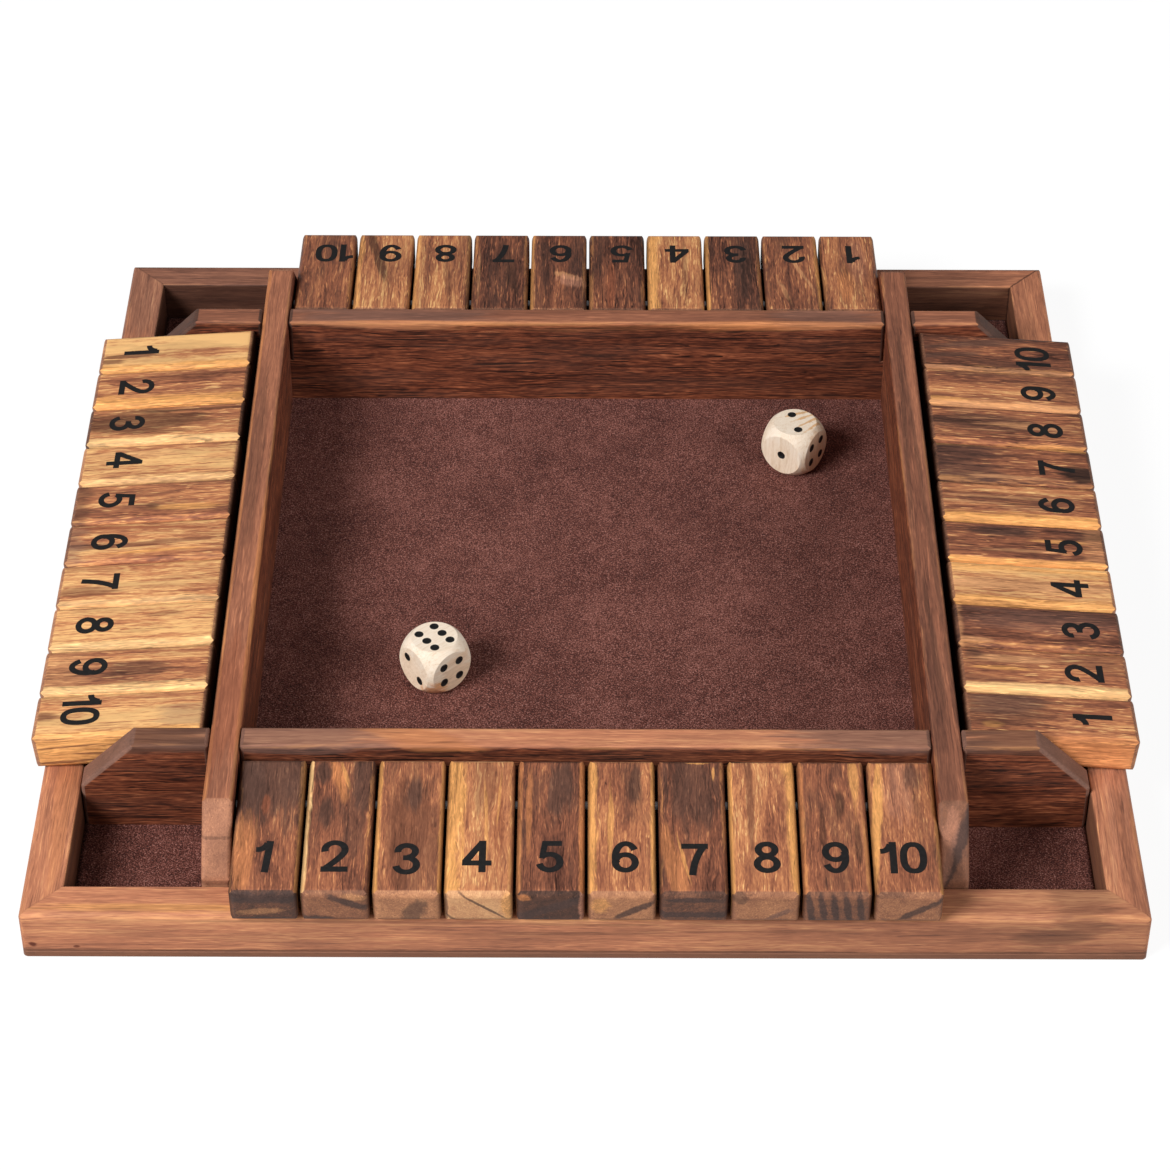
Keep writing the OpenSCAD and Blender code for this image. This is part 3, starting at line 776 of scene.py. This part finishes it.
# How far each tile's number is printed off: mm outwards, mm to +Y, degrees anticlockwise
PRINTED_OFF = {
    "front": [(0.2, -0.6, -5), (0, -0.5, 0), (0.9, -0.3, 0), (0, -0.6, 0), (0, -0.2, 0), (0, 0.9, 0),
              (0.9, 0.4, 0), (0, 0.6, 0), (0, -0.1, 0), (0, -1.0, 0)],
    "left": [(0, -0.8, 0), (-0.3, -0.4, 0), (0.8, -0.8, 0), (-0.4, -1.3, 0), (0, -1.0, 0), (0, 0, 0),
             (0.8, -0.6, 0), (0.2, -0.3, 0), (0, -1.2, 0), (0, -2.0, 0)],
    "back": [(0, -1.6, 0), (0, -1.1, 0), (0, -1.0, 0), (0, -0.8, 0), (0, -1.6, 0), (0, -0.5, 0),
             (0, -0.8, 0), (0, -0.7, 0), (0, -1.7, 0), (0, -2.2, 0)],
    "right": [(0.4, -0.9, 0), (0, -0.4, 0), (1.1, -0.7, 0), (0, -1.0, 0), (0.2, -1.3, 0), (0, -0.4, 0),
              (2.0, -1.4, 0), (0.3, -1.6, 0), (0, -1.7, 0), (0, -2.6, 0)],
}
UPRIGHT_PEN, LEVEL_PEN = 1.95, 1.6  # widths of upright and level strokes
INK_LOW, INK_HIGH = -0.05, 0.03  # the ink's bottom and top against the tile's face
TEN_GAP = 0.8  # between the two figures of 10
WELD = 1e-4  # mm: points of a glyph nearer than this are one


def bar(x0, y0, x1, y1):
    return [[(x0, y0), (x1, y0), (x1, y1), (x0, y1)]]


def arc(cx, cy, rx, ry, start, stop, steps=30, power=2.0):
    """Points of an ellipse, or of a squarer one where power is above 2, between two angles."""
    points = []
    for i in range(steps + 1):
        a = math.radians(start + (stop - start) * i / steps)
        c, s = math.cos(a), math.sin(a)
        points.append((
            cx + rx * math.copysign(abs(c) ** (2 / power), c),
            cy + ry * math.copysign(abs(s) ** (2 / power), s),
        ))
    return points


def curve(a, b, c, steps=12):
    """Points of a quadratic curve from a to c that bends towards b."""
    return [
        tuple((1 - t) ** 2 * p + 2 * t * (1 - t) * q + t * t * r for p, q, r in zip(a, b, c))
        for t in (i / steps for i in range(steps + 1))
    ]


def stroke(line):
    """Quads of a pen drawn along a line. The pen is wider on upright strokes than on level ones."""
    closed = math.dist(line[0], line[-1]) < 1e-6
    rims = []
    last = len(line) - 1
    for i, (x, y) in enumerate(line):
        before = line[last - 1 if closed and i == 0 else max(i - 1, 0)]
        after = line[1 if closed and i == last else min(i + 1, last)]
        dx, dy = after[0] - before[0], after[1] - before[1]
        length = math.hypot(dx, dy)
        dx, dy = dx / length, dy / length
        half = math.hypot(UPRIGHT_PEN * dy, LEVEL_PEN * dx) / 2
        rims.append(((x - dy * half, y + dx * half), (x + dy * half, y - dx * half)))
    return [[b[1], b[0], a[0], a[1]] for a, b in zip(rims, rims[1:])]


def turned(shapes, cx, cy):
    """The shapes half a turn about a point."""
    return [[(2 * cx - x, 2 * cy - y) for x, y in shape] for shape in shapes]


def zero():
    return stroke(arc(3.65, 5.2, 2.67, 4.38, 0, 360, 56, 2.4))


def one():
    flag = curve((0.45, 7.25), (2.75, 7.3), (3.25, 9.6), 8)
    return bar(2.9, 0, 4.85, 10.4) + stroke(flag)


def two():
    line = arc(3.75, 7.25, 2.7, 2.35, 195, -30) + curve((6.05, 5.95), (4.6, 3.9), (1.45, 1.2), 10)[1:]
    return stroke(line) + bar(0.2, 0, 7.45, 1.75) + [[(0.2, 0), (2.4, 0.4), (2.3, 1.9), (0.35, 1.75)]]


def three():
    bowls = stroke(arc(3.5, 7.65, 2.35, 1.95, 190, -88)) + stroke(arc(3.55, 3.15, 2.75, 2.35, 92, -172))
    return bowls + bar(2.6, 4.7, 3.7, 6.3)


def four():
    a, b, c, d, e = (0.15, 3.9), (0.15, 2.6), (2.1, 3.2), (5.3, 8.2), (4.75, 10.4)
    return bar(4.6, 0, 6.5, 10.4) + bar(0.15, 2.2, 8.05, 3.85) + [[a, b, c], [a, c, d, e]]


def five():
    stem = [(0.75, 4.6), (2.45, 4.95), (3.2, 10.0), (1.6, 10.4)]
    return bar(1.6, 8.75, 6.85, 10.4) + [stem] + stroke(arc(3.6, 3.4, 2.8, 2.6, 142, -168))


def six():
    return stroke(arc(3.72, 3.37, 2.67, 2.55, 0, 360, 40)) + stroke(arc(3.85, 5.2, 2.8, 4.38, 208, 32))


def seven():
    return bar(0.1, 8.7, 7.3, 10.4) + stroke(curve((6.1, 9.3), (3.6, 6.0), (3.0, 0.0)))


def eight():
    return stroke(arc(3.65, 7.7, 2.25, 1.9, 0, 360, 36)) + stroke(arc(3.65, 3.02, 2.65, 2.22, 0, 360, 40))


def nine():
    return turned(six(), 3.7, 5.2)


GLYPHS = {1: one, 2: two, 3: three, 4: four, 5: five, 6: six, 7: seven, 8: eight, 9: nine}


def number_shapes(number):
    if number < 10:
        return GLYPHS[number]()
    left = one()
    right = max(x for shape in left for x, _ in shape) + TEN_GAP
    first = zero()
    start = min(x for shape in first for x, _ in shape)
    return left + [[(x - start + right, y) for x, y in shape] for shape in first]


def outline_mesh(name, shapes, low, high):
    """Closed plate of the shapes' union, from low to high in mm, about the middle of its box."""
    points, faces = [], []
    for shape in shapes:
        area = sum(a[0] * b[1] - a[1] * b[0] for a, b in zip(shape, shape[1:] + shape[:1]))
        faces.append(range(len(points), len(points) + len(shape)))
        points += [Vector(p) for p in (shape if area > 0 else shape[::-1])]
    flat, _, found, _, _, sources = delaunay_2d_cdt(points, [], [list(f) for f in faces], 1, WELD, True)
    kept = [tuple(f) for f, source in zip(found, sources) if source]
    used = sorted({i for f in kept for i in f})
    place = {i: k for k, i in enumerate(used)}
    xs, ys = [flat[i].x for i in used], [flat[i].y for i in used]
    middle = ((min(xs) + max(xs)) / 2, (min(ys) + max(ys)) / 2)
    count = len(used)
    corners = [
        # A number reads with its top towards the inner end, so up is -X and right is +Y
        ((middle[1] - flat[i].y) * DIGIT_HEIGHT / GLYPH_HEIGHT, flat[i].x - middle[0], z)
        for z in (low, high)
        for i in used
    ]
    tops = [tuple(place[i] + count for i in f) for f in kept]
    bottoms = [tuple(place[i] for i in reversed(f)) for f in kept]
    rims = {(a, b) for f in tops for a, b in zip(f, f[1:] + f[:1])}
    walls = [(b, a, a - count, b - count) for a, b in rims if (b, a) not in rims]
    mesh = bpy.data.meshes.new(name)
    mesh.from_pydata(corners, [], tops + bottoms + sorted(walls))
    mesh.validate()
    return mesh


def add_piece(name, mesh, material, body):
    mesh.materials.append(material)
    piece = bpy.data.objects.new(name, mesh)
    bpy.context.scene.collection.objects.link(piece)
    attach(piece, body)
    return piece


for side in SIDES:
    for number in range(1, 11):
        name = f"number_{side}_{number:02d}"
        mesh = outline_mesh(name, number_shapes(number), TILE_TOP + INK_LOW, TILE_TOP + INK_HIGH)
        out, across, lean = PRINTED_OFF[side][number - 1]
        middle = Matrix.Translation((TILE_OUTER - DIGIT_MIDDLE + out, across, 0))
        middle = middle @ Matrix.Rotation(math.radians(lean), 4, "Z")
        mesh.transform(tile_frame(side, number) @ Matrix.Scale(MM, 4) @ middle)
        add_piece(name, mesh, number_ink, f"tile_{side}_{number:02d}")


# Pips

ONE = [(0, 0)]
TWO = [(-PIP_STEP, -PIP_STEP), (PIP_STEP, PIP_STEP)]
FOUR = [(x, y) for x in (-PIP_STEP, PIP_STEP) for y in (-PIP_STEP, PIP_STEP)]
SIX = [(x, y) for x in (-PIP_STEP, PIP_STEP) for y in (-SIX_STEP, 0, SIX_STEP)]
FACES = [
    (SIX, "X", 0), (ONE, "X", 180), (TWO, "Y", 90), (FOUR + ONE, "Y", -90),
    (FOUR, "X", -90), (TWO + ONE, "X", 90),
]
PIP_BALL = (PIP_RADIUS**2 + PIP_DEPTH**2) / (2 * PIP_DEPTH)  # the ball that hollows a pip
# mm: paint lies PAINT_RIM thick at a pip's rim and PAINT thicker in its middle, and sinks in by PAINT
PAINT, PAINT_RIM = 0.06, 0.005
PIP_RINGS, PIP_SPOKES = 6, 24


def pip_paint():
    """Corners and faces of the closed coat of paint in one pip of the face Z = 0."""
    lift = PIP_BALL - PIP_DEPTH
    rim = math.acos(lift / PIP_BALL)
    corners, faces = [], []
    for outside in (False, True):
        for ring in range(PIP_RINGS + 1):
            a = rim * ring / PIP_RINGS
            thin = PAINT * (1 - (ring / PIP_RINGS) ** 4)
            r = PIP_BALL + PAINT if outside else PIP_BALL - thin - PAINT_RIM
            for spoke in range(PIP_SPOKES if ring else 1):
                b = 2 * math.pi * spoke / PIP_SPOKES
                flat = r * math.sin(a)
                corners.append((flat * math.cos(b), flat * math.sin(b), lift - r * math.cos(a)))
    layer = 1 + PIP_RINGS * PIP_SPOKES

    def at(outside, ring, spoke):
        inside = 0 if ring == 0 else 1 + (ring - 1) * PIP_SPOKES + spoke % PIP_SPOKES
        return outside * layer + inside

    for s in range(PIP_SPOKES):
        for outside in (0, 1):
            for ring in range(PIP_RINGS):
                face = [at(outside, ring, s), at(outside, ring + 1, s), at(outside, ring + 1, s + 1)]
                if ring:
                    face.append(at(outside, ring, s + 1))
                faces.append(face[::-1] if outside else face)
        faces.append([
            at(0, PIP_RINGS, s), at(1, PIP_RINGS, s), at(1, PIP_RINGS, s + 1), at(0, PIP_RINGS, s + 1),
        ])
    return corners, faces


for die in DIE_PLACES:
    coat, coat_faces = pip_paint()
    corners, faces = [], []
    for pips, axis, angle in FACES:
        turn = Matrix.Rotation(math.radians(angle), 4, axis)
        for x, y in pips:
            start = len(corners)
            corners += [turn @ Vector((cx + x, cy + y, cz + DIE_HALF)) for cx, cy, cz in coat]
            faces += [[i + start for i in f] for f in coat_faces]
    mesh = bpy.data.meshes.new(f"pips_{die}")
    mesh.from_pydata(corners, [], faces)
    mesh.transform(die_frame(die) @ Matrix.Scale(MM, 4))
    for face in mesh.polygons:
        face.use_smooth = True
    add_piece(f"pips_{die}", mesh, pip_ink, die)


# Felt

FELT_CELL = 1.4  # mm
FELT_SAG = 0.16  # mm that the felt's top lies below the boards' feet at most
FELT_LIFT, FELT_RIM_DROP = 0.02, 0.25  # mm: its gap over the base panel, and its edge's further drop


def felt_mesh():
    """Closed sheet with a faintly uneven top and a softly rounded edge."""
    count = int(FELT_SIDE / FELT_CELL)
    step = FELT_SIDE / count
    corners, faces = [], []
    for layer in (0, 1):
        for i in range(count + 1):
            for j in range(count + 1):
                x, y = -FELT_SIDE / 2 + i * step, -FELT_SIDE / 2 + j * step
                z = FELT_LOW + FELT_LIFT
                if layer:
                    wave = noise.noise(Vector((x * 0.05, y * 0.05, 3.0)))
                    nap = noise.noise(Vector((x * 0.6, y * 0.6, 8.0)))
                    drop = FELT_SAG * (0.5 + 0.3 * wave + 0.2 * nap)
                    rim = min(i, j, count - i, count - j)
                    z = FELT_TOP - max(0.0, min(FELT_SAG, drop)) - (FELT_RIM_DROP if rim == 0 else 0)
                corners.append((x * MM, y * MM, z * MM))
    row, layer = count + 1, (count + 1) ** 2
    for i in range(count):
        for j in range(count):
            a, b, c, d = i * row + j, (i + 1) * row + j, (i + 1) * row + j + 1, i * row + j + 1
            faces.append((a, d, c, b))
            faces.append((a + layer, b + layer, c + layer, d + layer))
    loop = (
        [i * row for i in range(count)] + [count * row + j for j in range(count)]
        + [i * row + count for i in range(count, 0, -1)] + list(range(count, 0, -1))
    )
    faces += [(a, b, b + layer, a + layer) for a, b in zip(loop, loop[1:] + loop[:1])]
    mesh = bpy.data.meshes.new("felt_sheet")
    mesh.from_pydata(corners, [], faces)
    for face in mesh.polygons:
        face.use_smooth = True
    return mesh


felt = add_piece("felt_sheet", felt_mesh(), felt_material(), "tray")
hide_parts("felt_lining")


# Floor, light and camera


FLOOR_SIZE, FLOOR_DROP = 8, 0.0002  # metres
FLOOR_SHADE, FLOOR_GLOW = 0.14, 0.9  # what the floor throws back, and how white it is seen


def make_floor():
    bpy.ops.mesh.primitive_plane_add(size=FLOOR_SIZE, location=(0, 0, -FLOOR_DROP))
    floor = bpy.context.object
    floor.name = "studio_floor"
    material = bpy.data.materials.new("studio_floor")
    material.use_nodes = True
    g = Tree(material.node_tree)
    g.tree.nodes.clear()
    path = g.tree.nodes.new("ShaderNodeLightPath").outputs
    seen = g.math("MAXIMUM", path["Is Camera Ray"], path["Is Glossy Ray"])
    seen = g.math("MAXIMUM", seen, path["Is Transmission Ray"])
    paper = g.add("ShaderNodeBsdfDiffuse", (*(FLOOR_SHADE,) * 3, 1))
    glow = g.add("ShaderNodeEmission", (1, 1, 1, 1), g.math("MULTIPLY", seen, FLOOR_GLOW))
    g.add("ShaderNodeOutputMaterial", g.add("ShaderNodeAddShader", paper, glow))
    floor.data.materials.append(material)


def make_world(level):
    """White where the camera sees it, and a plain grey of this level as light."""
    world = bpy.data.worlds.new("studio")
    world.use_nodes = True
    g = Tree(world.node_tree)
    g.tree.nodes.clear()
    path = g.tree.nodes.new("ShaderNodeLightPath").outputs
    seen = g.math("MAXIMUM", path["Is Camera Ray"], path["Is Transmission Ray"])
    strength = g.math("MULTIPLY_ADD", seen, 1.0 - level, level)
    g.add("ShaderNodeOutputWorld", g.add("ShaderNodeBackground", (1, 1, 1, 1), strength))
    bpy.context.scene.world = world


def make_softbox(name, towards, distance, size, level):
    """Square lamp in a direction. level is its share of full light on a level surface."""
    direction = Vector(towards).normalized()
    lamp = bpy.data.lights.new(name, "AREA")
    lamp.shape, lamp.size = "SQUARE", size
    lamp.energy = level * math.pi**2 * distance**2 / direction.z
    holder = bpy.data.objects.new(name, lamp)
    holder.location = direction * distance
    holder.rotation_euler = direction.to_track_quat("Z", "Y").to_euler()
    bpy.context.scene.collection.objects.link(holder)


CAMERA_PLACE = (0.00003, -0.80303, 0.679)
CAMERA_DOWN, CAMERA_LEFT, CAMERA_ROLL = 0.69897, 0.00044, 0.00274  # radians
CAMERA_LENS, SENSOR_WIDTH = 105.99, 36  # mm


def make_camera():
    ahead = Vector((0, math.cos(CAMERA_DOWN), -math.sin(CAMERA_DOWN)))
    ahead.rotate(Matrix.Rotation(CAMERA_LEFT, 3, "Z"))
    level = ahead.cross(Vector((0, 0, 1))).normalized()
    upright = level.cross(ahead)
    right = math.cos(CAMERA_ROLL) * level + math.sin(CAMERA_ROLL) * upright
    up = math.cos(CAMERA_ROLL) * upright - math.sin(CAMERA_ROLL) * level
    data = bpy.data.cameras.new("camera")
    data.sensor_fit, data.sensor_width, data.lens = "HORIZONTAL", SENSOR_WIDTH, CAMERA_LENS
    data.clip_start, data.clip_end = 0.01, 20
    camera = bpy.data.objects.new("camera", data)
    axes = Matrix((right, up, -ahead)).transposed().to_4x4()
    camera.matrix_world = Matrix.Translation(CAMERA_PLACE) @ axes
    bpy.context.scene.collection.objects.link(camera)
    bpy.context.scene.camera = camera


make_floor()
make_world(level=0.15)
make_softbox("key", towards=(-1.0, -0.8, 1.0), distance=2.0, size=0.8, level=0.66)
make_softbox("fill", towards=(1.0, -0.6, 0.5), distance=2.0, size=1.2, level=0.24)
make_camera()
bpy.context.scene.view_settings.view_transform = "Standard"
